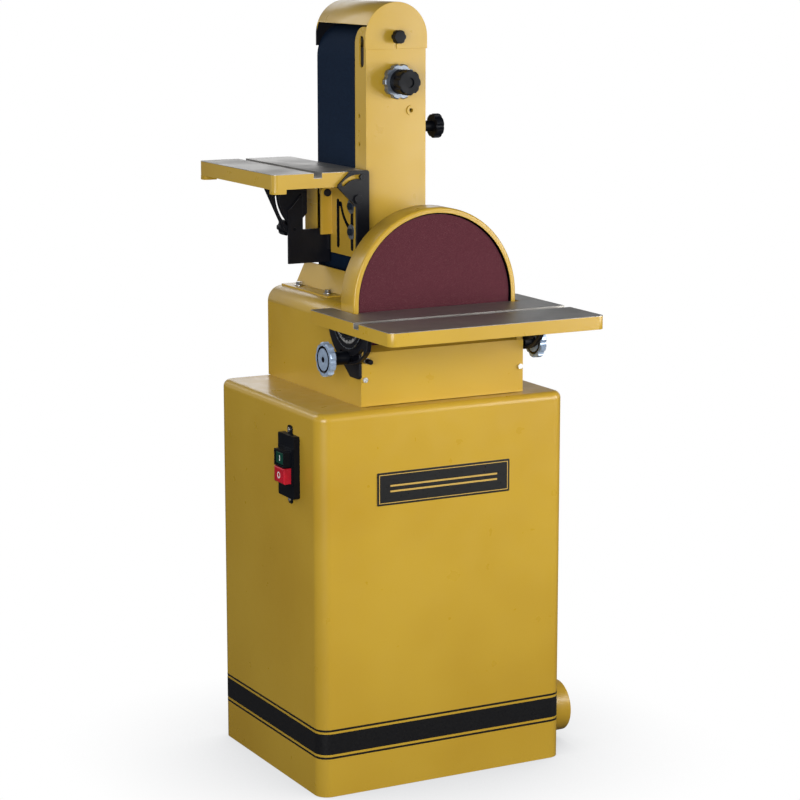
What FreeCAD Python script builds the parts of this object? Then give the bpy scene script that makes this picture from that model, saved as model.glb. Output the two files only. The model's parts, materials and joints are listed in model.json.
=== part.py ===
"""Combination belt and disc sander on a sheet-steel cabinet.

Frame: millimetres, +Z up, origin on the floor at the centre of the cabinet.
The sanding disc faces -Y and the upright abrasive belt works on its -X side.
Every separate piece of the machine is one entry in PARTS and one file in parts/.
"""
import FreeCAD, Part
import math
import os

V = FreeCAD.Vector

# ---- driving dimensions ------------------------------------------------------
DISC_R = 152.4             # 12 in sanding disc
BELT_WIDTH = 152.4         # 6 in abrasive belt
BELT_LENGTH = 1219.2       # 48 in abrasive belt
BELT_THICK = 1.2
RUNNING_GAP = 0.05         # radial clearance of everything that turns or slides

CABINET_X = 250.6          # half width
CABINET_Y = 210.5          # half depth
CABINET_TOP = 695.4
SHEET = 2.5

SPINDLE_X = 11.6
SPINDLE_Z = 873.1
DISC_FACE_Y = -150.1
DRUM_R = 60.4

HOUSING_X = (-150.6, 179.5)
HOUSING_Y = (-175.4, 206.7)
HOUSING_TOP = 864.0
HOUSING_WALL = 3.0
GUARD_R = 165.0
GUARD_Y = (-155.0, -105.5)

ARM_HALF = 61.0
ARM_Y = -2.8               # front face of the arm
ARM_PLATE = 3.0
ARM_DEPTH_Y = 40.6         # back edge of the arm's side flanges
GUARD_TOP_Z = 1331.0       # centre of the round top guard
GUARD_TOP_R = 63.0

DISC_TABLE_X = (-200.7, 223.9)
DISC_TABLE_Y = (-381.3, -76.4)
DISC_TABLE_Z = 860.0
DISC_PIVOT = (-158.0, 858.0)          # y, z of the tilt axis
LOCK_Y = -150.0
LOCK_Z = 782.0

BELT_TABLE_X = (-241.2, -52.1)
BELT_TABLE_Y = (-15.3, 311.0)
BELT_TABLE_Z = 1094.6
BELT_PIVOT = (-76.0, 1045.0)          # x, z of the tilt axis

MOTOR_Z = 330.0
MOTOR_PULLEY_R = 42.0
SPINDLE_PULLEY_R = 34.5
V_BELT_Y = -53.0                      # middle of the drive belt

PORT_Y = -105.0
PORT_Z = 63.0
PORT_R = 48.5

# ---- worked out from them ----------------------------------------------------
BELT_INNER_R = DRUM_R + RUNNING_GAP
BELT_OUTER_R = BELT_INNER_R + BELT_THICK
BELT_MEAN_R = BELT_INNER_R + BELT_THICK / 2
IDLER_Z = SPINDLE_Z + (BELT_LENGTH - 2 * math.pi * BELT_MEAN_R) / 2
BELT_Y = (41.5, 41.5 + BELT_WIDTH)
ARM_X = (SPINDLE_X - ARM_HALF, SPINDLE_X + ARM_HALF)

PARTS = {}
SMALL_SCREWS = []          # round-headed screws of the covers
BASE_BOLTS = []            # hexagon bolts of the base


# ---- helpers -----------------------------------------------------------------
def box(x, y, z):
    """Block between two x, two y and two z values."""
    return Part.makeBox(x[1] - x[0], y[1] - y[0], z[1] - z[0], V(x[0], y[0], z[0]))


def along(axis, u, v, w):
    """Point at w on an axis, with u and v on the other two in X, Y, Z order."""
    return {"x": V(w, u, v), "y": V(u, w, v), "z": V(u, v, w)}[axis]


def rod(axis, centre, r, span):
    """Solid cylinder along an axis, from span[0] to span[1]."""
    start = along(axis, centre[0], centre[1], span[0])
    return Part.makeCylinder(r, span[1] - span[0], start, along(axis, 0, 0, 1))


def grown(span, by):
    """Span widened by the same amount at both ends."""
    return span[0] - by, span[1] + by


def tube(axis, centre, outer, inner, span):
    return rod(axis, centre, outer, span).cut(rod(axis, centre, inner, span))


def prism(axis, points, span):
    """Polygon of (u, v) points pushed along an axis."""
    loop = [along(axis, u, v, span[0]) for u, v in points]
    face = Part.Face(Part.makePolygon(loop + loop[:1]))
    return face.extrude(along(axis, 0, 0, span[1] - span[0]))


def join(*shapes):
    return shapes[0].fuse(list(shapes[1:])).removeSplitter()


def cut(shape, *tools):
    return shape.cut(list(tools)).removeSplitter()


def round_edges(shape, radius, axis=None, where=lambda middle: True):
    """Fillet the edges that run along an axis and whose middle point passes the test."""
    edges = [e for e in shape.Edges if where(e.CenterOfMass)
             and (axis is None or abs(getattr(e.tangentAt(e.FirstParameter), axis)) > 0.99)]
    return shape.makeFillet(radius, edges)


def round_rims(shape, radius, where=lambda middle: True):
    """Fillet the full circles at the ends of a turned piece."""
    rims = [e for e in shape.Edges if len(e.Vertexes) == 1 and where(e.CenterOfMass)]
    return shape.makeFillet(radius, rims)


def polar(centre, r, degrees):
    angle = math.radians(degrees)
    return centre[0] + r * math.cos(angle), centre[1] + r * math.sin(angle)


def arc_slot(axis, centre, r, half_width, start, end, span):
    """Curved slot of constant radius, with round ends."""
    steps = 12
    sweep = [start + (end - start) * i / steps for i in range(steps + 1)]
    outer = [polar(centre, r + half_width, a) for a in sweep]
    inner = [polar(centre, r - half_width, a) for a in reversed(sweep)]
    ends = [rod(axis, polar(centre, r, a), half_width, span) for a in (start, end)]
    return join(prism(axis, outer + inner, span), *ends)


def straight_slot(axis, start, end, half_width, span):
    """Straight slot with round ends between two (u, v) centres."""
    du, dv = end[0] - start[0], end[1] - start[1]
    length = math.hypot(du, dv)
    nu, nv = -dv / length * half_width, du / length * half_width
    corners = [(start[0] + nu, start[1] + nv), (end[0] + nu, end[1] + nv),
               (end[0] - nu, end[1] - nv), (start[0] - nu, start[1] - nv)]
    ends = [rod(axis, c, half_width, span) for c in (start, end)]
    return join(prism(axis, corners, span), *ends)


def belt_loop(lower, lower_r, upper, upper_r, y):
    """Solid wrapped round two wheels, one above the other, on axes along Y."""
    rise = upper[1] - lower[1]
    lean = math.degrees(math.asin((lower_r - upper_r) / rise))
    points = []
    for centre, r, start, end in ((upper, upper_r, lean, 180 - lean),
                                  (lower, lower_r, 180 - lean, 360 + lean)):
        first = polar(centre, r, start)
        middle = polar(centre, r, (start + end) / 2)
        last = polar(centre, r, end)
        points.append([along("y", u, v, y[0]) for u, v in (first, middle, last)])
    over, under = points
    edges = [Part.Arc(*over).toShape(), Part.makeLine(over[2], under[0]),
             Part.Arc(*under).toShape(), Part.makeLine(under[2], over[0])]
    return Part.Face(Part.Wire(edges)).extrude(V(0, y[1] - y[0], 0))


def lobed(axis, centre, r, lobes, bite, span, soften=1.5):
    """Hand knob or wheel: a disc with round bites taken between its lobes."""
    disc = round_rims(rod(axis, centre, r, span), soften)
    reach = r + bite * 0.45
    bites = [rod(axis, polar(centre, reach, 360.0 * (i + 0.5) / lobes), bite, span)
             for i in range(lobes)]
    return cut(disc, *bites)


def hexagon(axis, centre, r, span):
    return prism(axis, [polar(centre, r, 60 * i) for i in range(6)], span)


def screw(axis, centre, head, shank):
    """Round-headed screw; head and shank are each a radius and a span."""
    return join(rod(axis, centre, *head), rod(axis, centre, *shank))


def bolt(axis, centre, head, shank, washer=None):
    """Hexagon bolt; head, shank and washer are each a radius and a span."""
    body = join(hexagon(axis, centre, *head), rod(axis, centre, *shank))
    return join(body, rod(axis, centre, *washer)) if washer else body


# ---- cabinet -----------------------------------------------------------------
CORNER_R = 24.0
TOP_EDGE_R = 13.0
DOOR_X = 190.0
DOOR_Z = (150.0, 600.0)
DOOR_LAP = 15.0
NAME_PLATE_X = (-137.0, 132.6)
NAME_PLATE_Z = (522.5, 582.0)
ANCHOR = (200.0, 160.0)
ANCHOR_R = 5.5
FLOOR_PLATE = 4.0
BELT_WINDOW = ((-40.0, 63.0), (-68.0, -38.0))
SWITCH_Y = (-134.5, -70.5)
SWITCH_Z = (532.0, 645.0)
PEDESTAL_BOLTS = [(-58.0, -88.0), (81.0, -88.0), (-58.0, -16.0), (81.0, -16.0)]
DOOR_SCREWS = [(sx * (DOOR_X - 7), z) for sx in (-1, 1) for z in (165.0, 375.0, 585.0)]
RAIL_Z = (440.0, 446.0)


def rounded_case(inset, top_inset, bottom):
    """The cabinet's outline, shrunk by inset."""
    x = CABINET_X - inset
    y = CABINET_Y - inset
    case = box((-x, x), (-y, y), (bottom, CABINET_TOP - top_inset))
    case = round_edges(case, CORNER_R - inset, "z")
    top = CABINET_TOP - top_inset
    return round_edges(case, TOP_EDGE_R - inset, None, lambda m: abs(m.z - top) < 0.01)


def make_cabinet():
    outer = rounded_case(0, 0, 0)
    inner = rounded_case(SHEET, SHEET, -10)
    window = box(*BELT_WINDOW, (CABINET_TOP - 20, CABINET_TOP + 1))
    door = box((-DOOR_X + DOOR_LAP, DOOR_X - DOOR_LAP), (CABINET_Y - 20, CABINET_Y + 1),
               (DOOR_Z[0] + DOOR_LAP, DOOR_Z[1] - DOOR_LAP))
    port = rod("x", (PORT_Y, PORT_Z), PORT_R - 2, (CABINET_X - 20, CABINET_X + 1))
    bolts = [rod("z", c, 5, (CABINET_TOP - 20, CABINET_TOP + 1)) for c in PEDESTAL_BOLTS]
    screws = [rod("y", c, 2, (CABINET_Y - 20, CABINET_Y + 1)) for c in DOOR_SCREWS]
    switch = box((-CABINET_X - 1, -CABINET_X + 20), (SWITCH_Y[0] + 6, SWITCH_Y[1] - 6),
                 (SWITCH_Z[0] + 20, SWITCH_Z[1] - 20))
    PARTS["cabinet_shell"] = cut(outer, inner, window, door, port, switch, *bolts, *screws)

    x, y = CABINET_X - SHEET, CABINET_Y - SHEET
    floor = round_edges(box((-x, x), (-y, y), (0, FLOOR_PLATE)), CORNER_R - SHEET, "z")
    anchors = [rod("z", (sx * ANCHOR[0], sy * ANCHOR[1]), ANCHOR_R, (-1, FLOOR_PLATE + 1))
               for sx in (-1, 1) for sy in (-1, 1)]
    PARTS["cabinet_floor"] = cut(floor, *anchors)

    back = box((-DOOR_X, DOOR_X), (CABINET_Y, CABINET_Y + 2), DOOR_Z)
    back = round_edges(back, 10, "y")
    louvres = [straight_slot("y", (-60, z), (60, z), 3, (CABINET_Y - 1, CABINET_Y + 3))
               for z in (480.0, 500.0, 520.0, 540.0)]
    holes = [rod("y", c, 2, (CABINET_Y - 1, CABINET_Y + 3)) for c in DOOR_SCREWS]
    PARTS["rear_access_panel"] = cut(back, *louvres, *holes)
    face = CABINET_Y + 2
    SMALL_SCREWS.extend([screw("y", c, (5, (face, face + 3)), (2, (face - 10, face))) for c in DOOR_SCREWS])

    plate = box(NAME_PLATE_X, (-CABINET_Y - 1.5, -CABINET_Y), NAME_PLATE_Z)
    PARTS["name_plate"] = round_edges(plate, 2, "y")


def make_dust_port():
    centre = (PORT_Y, PORT_Z)
    flange = tube("x", centre, 59, PORT_R - 2, (CABINET_X, CABINET_X + 3))
    spout = tube("x", centre, PORT_R, PORT_R - 2, (CABINET_X + 3, CABINET_X + 57))
    lip = tube("x", centre, PORT_R + 1.5, PORT_R - 2, (CABINET_X + 3, CABINET_X + 9))
    places = [polar(centre, 54, a) for a in (45, 135, 225, 315)]
    holes = [rod("x", c, 1.6, (CABINET_X - 1, CABINET_X + 4)) for c in places]
    PARTS["dust_port"] = cut(join(flange, spout, lip), *holes)
    face = CABINET_X + 3
    SMALL_SCREWS.extend([screw("x", c, (3.2, (face, face + 1.5)), (1.6, (CABINET_X, face)))
                         for c in places])


# ---- switch ------------------------------------------------------------------
SWITCH_FACE = -262.6
BUTTON_FOOT = -258.0
POCKET_FLOOR = -253.0
BUTTONS = {
    "start_button": {"face": -277.0, "y": (-123.5, -90.5), "z": (593.0, 616.0)},
    "stop_button": {"face": -279.0, "y": (-127.0, -87.0), "z": (560.0, 588.0)},
}
SHROUD_FACE = -278.5       # collar that guards the start button
SHROUD_WALL = 3.5
SWITCH_SCREWS = [(-98.0, 652.0), (-98.0, 526.0)]


def make_switch():
    body = box((SWITCH_FACE, -CABINET_X), SWITCH_Y, SWITCH_Z)
    body = round_edges(body, 4, "x")
    tab = box((-CABINET_X - 2, -CABINET_X), (-107, -89), (518, 660))
    tab = round_edges(tab, 6, "x")
    start, stop = BUTTONS["start_button"], BUTTONS["stop_button"]
    bezel = box((SWITCH_FACE - 2, SWITCH_FACE), grown(stop["y"], 4), (stop["z"][0] - 4, start["z"][1] + 7))
    shroud = box((SHROUD_FACE, SWITCH_FACE), grown(start["y"], SHROUD_WALL), grown(start["z"], SHROUD_WALL))
    shroud = round_edges(shroud, 2, "x")
    pockets = [box((SHROUD_FACE - 1, POCKET_FLOOR), grown(b["y"], 0.1), grown(b["z"], 0.1))
               for b in BUTTONS.values()]
    holes = [rod("x", c, 2, (-CABINET_X - 3, -CABINET_X + 1)) for c in SWITCH_SCREWS]
    PARTS["switch_box"] = cut(join(body, tab, bezel, shroud), *pockets, *holes)
    for name, b in BUTTONS.items():
        button = box((b["face"], BUTTON_FOOT), b["y"], b["z"])
        PARTS[name] = round_edges(button, 2.5, None, lambda m: abs(m.x - b["face"]) < 0.01)
    face = -CABINET_X - 2
    SMALL_SCREWS.extend([screw("x", c, (4, (face - 2.5, face)), (2, (face, -CABINET_X)))
                         for c in SWITCH_SCREWS])


# ---- motor and drive ---------------------------------------------------------
MOTOR_CENTRE = (SPINDLE_X, MOTOR_Z)
MOTOR_R = 84.0
MOTOR_FINS = 24
MOTOR_SHAFT_R = 9.5
MOTOR_Y = (10.0, 170.0)
PULLEY_HALF = 10.0
GROOVE_HALF = 5.3
PULLEY_Y = (V_BELT_Y - PULLEY_HALF, V_BELT_Y + PULLEY_HALF)
MOTOR_BOLTS = [(-68.0, 35.0), (91.0, 35.0), (-68.0, 145.0), (91.0, 145.0)]


def pulley(centre, pitch_r, shaft_r):
    rim = rod("y", centre, pitch_r + 3, PULLEY_Y)
    groove = tube("y", centre, pitch_r + 10, pitch_r - 7,
                  (V_BELT_Y - GROOVE_HALF, V_BELT_Y + GROOVE_HALF))
    return cut(rim, groove, rod("y", centre, shaft_r, (PULLEY_Y[0] - 1, PULLEY_Y[1] + 1)))


def make_motor():
    fins = []
    for i in range(MOTOR_FINS):
        fin = box((SPINDLE_X - 1.5, SPINDLE_X + 1.5), MOTOR_Y,
                  (MOTOR_Z + MOTOR_R - 2, MOTOR_Z + MOTOR_R + 6))
        fin.rotate(V(SPINDLE_X, 0, MOTOR_Z), V(0, 1, 0), 360.0 / MOTOR_FINS * i)
        fins.append(fin)
    can = tube("y", MOTOR_CENTRE, MOTOR_R, 62, MOTOR_Y)
    mount_block = box((-80, 103), (25, 155), (MOTOR_Z + 78, RAIL_Z[0]))
    bolts = [rod("z", c, 4, (MOTOR_Z + 60, RAIL_Z[1] + 20)) for c in MOTOR_BOLTS]
    can = join(can, *fins)
    can = join(can, mount_block.cut(rod("y", MOTOR_CENTRE, MOTOR_R - 1, (0, 200))))
    can = cut(can, *bolts)
    bells = []
    for inner, outer in ((MOTOR_Y[0], MOTOR_Y[0] - 16), (MOTOR_Y[1], MOTOR_Y[1] + 16)):
        span = (min(inner, outer), max(inner, outer))
        bell = round_rims(rod("y", MOTOR_CENTRE, 86, span), 8, lambda m: abs(m.y - outer) < 0.1)
        bore = rod("y", MOTOR_CENTRE, MOTOR_SHAFT_R + RUNNING_GAP, (span[0] - 1, span[1] + 1))
        bells.append(cut(bell, bore))
    capacitor = box((105, 140), (45.0, 135.0), (MOTOR_Z - 22, MOTOR_Z + 22)).cut(can)
    capacitor = max(capacitor.Solids, key=lambda s: s.Volume)
    PARTS["motor_case"] = Part.makeCompound([can, capacitor, *bells])
    PARTS["motor_rotor"] = join(rod("y", MOTOR_CENTRE, MOTOR_SHAFT_R, (-68, 184)),
                                rod("y", MOTOR_CENTRE, 58, (30, 150)))
    PARTS["motor_pulley"] = pulley(MOTOR_CENTRE, MOTOR_PULLEY_R, MOTOR_SHAFT_R)
    plate = box((-90, 113), (20, 160), RAIL_Z)
    slots = [straight_slot("z", (c[0] - 6, c[1]), (c[0] + 6, c[1]), 4.5, (RAIL_Z[0] - 1, RAIL_Z[1] + 1))
             for c in MOTOR_BOLTS]
    rails = [box((-CABINET_X + SHEET, CABINET_X - SHEET), y, (RAIL_Z[0], RAIL_Z[1] + 24))
             for y in ((16.0, 20.0), (160.0, 164.0))]
    PARTS["motor_mounting_plate"] = cut(join(plate, *rails), *slots)
    BASE_BOLTS.extend([bolt("z", c, (8, (RAIL_Z[1], RAIL_Z[1] + 6)), (4, (RAIL_Z[0] - 20, RAIL_Z[1])))
                       for c in MOTOR_BOLTS])
    outer = belt_loop(MOTOR_CENTRE, MOTOR_PULLEY_R + 2, (SPINDLE_X, SPINDLE_Z), SPINDLE_PULLEY_R + 2,
                      (V_BELT_Y - 5, V_BELT_Y + 5))
    inner = belt_loop(MOTOR_CENTRE, MOTOR_PULLEY_R - 6, (SPINDLE_X, SPINDLE_Z), SPINDLE_PULLEY_R - 6,
                      (V_BELT_Y - 6, V_BELT_Y + 6))
    PARTS["drive_v_belt"] = outer.cut(inner)


# ---- spindle, disc and drive drum --------------------------------------------
SPINDLE = (SPINDLE_X, SPINDLE_Z)
SHAFT_R = 12.5
BEARING_R = 26.0
BEARINGS_Y = [(-98.0, -83.0), (-28.0, -13.0)]
NOSE_R = 36.0
NOSE_END_Y = 9.0
FOOT_T = 12.0


def make_spindle():
    PARTS["spindle_shaft"] = rod("y", SPINDLE, SHAFT_R, (-140, 198))
    PARTS["spindle_pulley"] = pulley(SPINDLE, SPINDLE_PULLEY_R, SHAFT_R)
    plate = rod("y", SPINDLE, DISC_R, (DISC_FACE_Y + 1, -137))
    hub = rod("y", SPINDLE, 28, (-137, -112))
    PARTS["disc_plate"] = cut(join(plate, hub), rod("y", SPINDLE, SHAFT_R, (-140, -100)))
    PARTS["abrasive_disc"] = rod("y", SPINDLE, DISC_R, (DISC_FACE_Y, DISC_FACE_Y + 1))

    span = (BELT_Y[0] + 2, BELT_Y[1] - 2)
    rim = tube("y", SPINDLE, DRUM_R, DRUM_R - 7, span)
    webs = [tube("y", SPINDLE, DRUM_R - 6, 24, (y, y + 8)) for y in (60.0, 160.0)]
    core = tube("y", SPINDLE, 26, SHAFT_R, span)
    PARTS["drive_drum"] = join(rim, core, *webs)

    PARTS["spindle_bearings"] = Part.makeCompound(
        [tube("y", SPINDLE, BEARING_R, SHAFT_R + RUNNING_GAP, y) for y in BEARINGS_Y])


def make_bearing_housing():
    foot = box((-70, 93), (-100, -4), (CABINET_TOP, CABINET_TOP + FOOT_T))
    pieces = [foot]
    for y in ((-100.0, -72.0), (-34.0, -8.0)):
        pieces.append(box((SPINDLE_X - 30, SPINDLE_X + 30), y, (CABINET_TOP, SPINDLE_Z)))
        pieces.append(rod("y", SPINDLE, 38, y))
    pieces.append(rod("y", SPINDLE, NOSE_R, (-10, NOSE_END_Y)))
    bores = [rod("y", SPINDLE, BEARING_R, y) for y in BEARINGS_Y]
    bores.append(rod("y", SPINDLE, SHAFT_R + 2, (-110, 20)))
    window = box(*BELT_WINDOW, (CABINET_TOP - 1, CABINET_TOP + FOOT_T + 1))
    bolts = [rod("z", c, 5, (CABINET_TOP - 1, CABINET_TOP + FOOT_T + 1)) for c in PEDESTAL_BOLTS]
    PARTS["bearing_housing"] = cut(join(*pieces), window, *bores, *bolts)
    top = CABINET_TOP + FOOT_T
    BASE_BOLTS.extend([bolt("z", c, (9, (top, top + 7)), (5, (CABINET_TOP - 8, top)))
                       for c in PEDESTAL_BOLTS])
    ring = tube("y", SPINDLE, 46, NOSE_R, (ARM_Y + ARM_PLATE + 0.1, NOSE_END_Y))
    PARTS["arm_retaining_collar"] = ring


# ---- upper housing, guard and covers -----------------------------------------
BAY_X = -55.0
BAY_Y = -8.0
BAY_FLOOR = 796.0
FRONT_OPEN_Z = 835.0
HOUSING_ROUND = 29.0
PANEL_TOP = 792.2
LIP_BACK_Y = -157.0        # lip that leans from the panel's top edge towards the disc
LIP_RISE = 9.0
PANEL_SCREWS = [(-143.5, 744.5), (172.5, 743.0)]
INDEX = (-142.5, 779.0)
SCOOP_BOLTS = [(-104.0, 45.0), (-104.0, 166.0)]


def make_housing():
    shell = box(HOUSING_X, HOUSING_Y, (CABINET_TOP, HOUSING_TOP))
    shell = round_edges(shell, HOUSING_ROUND, "y", lambda m: m.x < 0 and m.z > 800)
    wall = HOUSING_WALL
    hollow = box((HOUSING_X[0] + wall, HOUSING_X[1] - wall), (HOUSING_Y[0] + wall, HOUSING_Y[1] - wall),
                 (CABINET_TOP - 1, HOUSING_TOP - wall))
    hollow = round_edges(hollow, HOUSING_ROUND - wall, "y", lambda m: m.x < 0 and m.z > 800)
    shell = shell.cut(hollow)
    partition = box((HOUSING_X[0] + wall, HOUSING_X[1] - wall), (GUARD_Y[1], GUARD_Y[1] + wall),
                    (CABINET_TOP, HOUSING_TOP - 20))
    above = box((-200, 200), (-200, GUARD_Y[1]), (FRONT_OPEN_Z, 900))
    slope = prism("x", [(-178, 795), (-178, 840), (-150, 840)], (-200, 200))
    mouth = box((HOUSING_X[0] + 12, HOUSING_X[1] - 12), (-180, -160), (CABINET_TOP - 1, 900))
    shelf = box((BAY_X - wall, HOUSING_X[1] - wall), (BAY_Y - wall, HOUSING_Y[1] - wall),
                (BAY_FLOOR - wall, BAY_FLOOR))
    bay_walls = [box((BAY_X - wall, BAY_X), (BAY_Y - wall, HOUSING_Y[1] - wall),
                     (BAY_FLOOR - wall, HOUSING_TOP - wall)),
                 box((BAY_X - wall, HOUSING_X[1] - wall), (BAY_Y - wall, BAY_Y),
                     (BAY_FLOOR - wall, HOUSING_TOP - wall))]
    bay = box((BAY_X, 200), (BAY_Y, 250), (BAY_FLOOR, 900))
    spindle_gap = box((SPINDLE_X - 50, SPINDLE_X + 50), (GUARD_Y[1] - 1, BAY_Y + 1), (CABINET_TOP - 1, 900))
    body = join(shell, partition, shelf, *bay_walls)
    holes = [rod("y", c, 2.5, (-180, -160)) for c in PANEL_SCREWS]
    holes += [rod("z", c, 4, (850, 870)) for c in SCOOP_BOLTS]
    holes.append(rod("y", INDEX, 3 + RUNNING_GAP, (-180, -160)))
    PARTS["base_housing"] = cut(body, above, slope, mouth, bay, spindle_gap, *holes)

    panel = box(HOUSING_X, (HOUSING_Y[0] - 2, HOUSING_Y[0]), (CABINET_TOP + 1, PANEL_TOP))
    face = HOUSING_Y[0] - 2
    lip = prism("x", [(face, PANEL_TOP - 2), (face, PANEL_TOP), (LIP_BACK_Y, PANEL_TOP + LIP_RISE),
                      (LIP_BACK_Y, PANEL_TOP + LIP_RISE - 2)], (HOUSING_X[0] + 13, HOUSING_X[1] - 13))
    holes = [rod("y", c, 2.5, (-180, -160)) for c in PANEL_SCREWS]
    holes.append(rod("y", INDEX, 5.5 + RUNNING_GAP, (-180, -170)))
    PARTS["front_panel"] = cut(join(panel, lip), *holes)
    SMALL_SCREWS.extend([screw("y", c, (4.8, (face - 4, face)), (2.5, (face, face + 5)))
                         for c in PANEL_SCREWS])
    PARTS["index_collar"] = tube("y", INDEX, 5.5, 3 + RUNNING_GAP, (face - 8, HOUSING_Y[0]))
    PARTS["index_pin"] = join(rod("y", INDEX, 4.5, (face - 22, face - 8 - RUNNING_GAP)),
                              rod("y", INDEX, 3, (face - 10, -166)))


def arch(r, y, foot):
    """Upper half disc of radius r with straight sides down to foot."""
    half = rod("y", SPINDLE, r, y).common(box((-300, 300), y, (SPINDLE_Z, 1200)))
    return join(half, box((SPINDLE_X - r, SPINDLE_X + r), y, (foot, SPINDLE_Z)))


def make_guard():
    shell = arch(GUARD_R, GUARD_Y, FRONT_OPEN_Z)
    shell = round_edges(shell, 4, None, lambda m: m.y < GUARD_Y[0] + 0.01 and m.z > FRONT_OPEN_Z + 1)
    mouth = arch(DISC_R + 2.8, (GUARD_Y[0] - 1, GUARD_Y[0] + 6), FRONT_OPEN_Z - 1)
    hollow = arch(GUARD_R - 5, (GUARD_Y[0] + 5, GUARD_Y[1] - 2.5), FRONT_OPEN_Z - 1)
    opening = rod("y", SPINDLE, 32, (GUARD_Y[1] - 5, GUARD_Y[1] + 1))
    below = box((SPINDLE_X - 32, SPINDLE_X + 32), (GUARD_Y[1] - 5, GUARD_Y[1] + 1), (800, SPINDLE_Z))
    PARTS["disc_guard"] = cut(shell, mouth, hollow, opening, below)

    span = (GUARD_Y[1], ARM_Y - 0.5)
    hood = arch(58, span, HOUSING_TOP)
    inside = arch(56, (span[0] - 1, span[1] - 2), HOUSING_TOP - 1)
    nose = rod("y", SPINDLE, 42, (span[1] - 3, span[1] + 1))
    nose_slot = box((SPINDLE_X - 42, SPINDLE_X + 42), (span[1] - 3, span[1] + 1), (800, SPINDLE_Z))
    PARTS["pulley_cover"] = cut(hood, inside, nose, nose_slot)


def make_scoop():
    foot = box((-122, -90), (12, 206), (HOUSING_TOP, HOUSING_TOP + 2.5))
    blade = prism("y", [(-92.5, 864), (-90, 864), (-70, 906), (-72.5, 906)], (20, 206))
    corner = prism("x", [(15, 880), (15, 910), (44, 910)], (-100, -60))
    holes = [rod("z", c, 4, (860, 870)) for c in SCOOP_BOLTS]
    PARTS["dust_deflector"] = cut(join(foot, blade), corner, *holes)
    top = HOUSING_TOP + 2.5
    BASE_BOLTS.extend([bolt("z", c, (7, (top + 1.6, top + 7)), (4, (top - 12, top)), (9, (top, top + 1.6)))
                       for c in SCOOP_BOLTS])


# ---- disc table --------------------------------------------------------------
TABLE_WEB = 9.0
TABLE_RIM = 24.0
MITRE_Y = -256.0
TRUNNION_T = 8.9
RING_T = 3.0               # raised ring that carries the angle scale
LOCK_SCREW_R = 5.0
SECTOR_GAP = 5.4           # from the housing wall to a trunnion, filled by its bracket
SIDES = {
    "left": {"wall": HOUSING_X[0], "out": -1, "wheel": (49.0, 61.0), "bracket_front": -180.0},
    "right": {"wall": HOUSING_X[1], "out": 1, "wheel": (37.0, 49.0), "bracket_front": -166.0},
}


def outward(side, near, far):
    """Span of x from near to far millimetres outside a housing wall."""
    a = SIDES[side]["wall"] + SIDES[side]["out"] * near
    b = SIDES[side]["wall"] + SIDES[side]["out"] * far
    return min(a, b), max(a, b)


def make_disc_table():
    top = DISC_TABLE_Z
    slab = box(DISC_TABLE_X, DISC_TABLE_Y, (top - TABLE_RIM, top))
    slab = round_edges(slab, 12, "z", lambda m: m.y < -300)
    slab = round_edges(slab, 5, "z", lambda m: m.y > -100)
    wall = 9.0
    x = (DISC_TABLE_X[0] + wall, DISC_TABLE_X[1] - wall)
    y = (DISC_TABLE_Y[0] + wall, DISC_TABLE_Y[1] - wall)
    pocket = box(x, y, (top - TABLE_RIM - 1, top - TABLE_WEB))
    rib = box(x, (MITRE_Y - 19, MITRE_Y + 19), (top - 20, top - TABLE_WEB))
    slab = join(slab.cut(pocket), rib)
    slot = box((-300, 300), (MITRE_Y - 9.5, MITRE_Y + 9.5), (top - 9.5, top + 1))
    guard_x = (SPINDLE_X - GUARD_R - 2.2, HOUSING_X[1] + 2)
    edge_y = DISC_FACE_Y - 3.4
    gap = prism("x", [(edge_y, top + 1), (edge_y, top - 0.5), (edge_y - 7, top - TABLE_WEB - 1),
                      (edge_y - 7, top - 40), (0, top - 40), (0, top + 1)], guard_x)
    notches = [box((a, b), (GUARD_Y[0] - 9, 0), (top - 40, top + 1))
               for a, b in ((guard_x[0], guard_x[0] + 13), (guard_x[1] - 16, guard_x[1]))]
    PARTS["disc_table"] = cut(slab, slot, gap, *notches)


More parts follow.
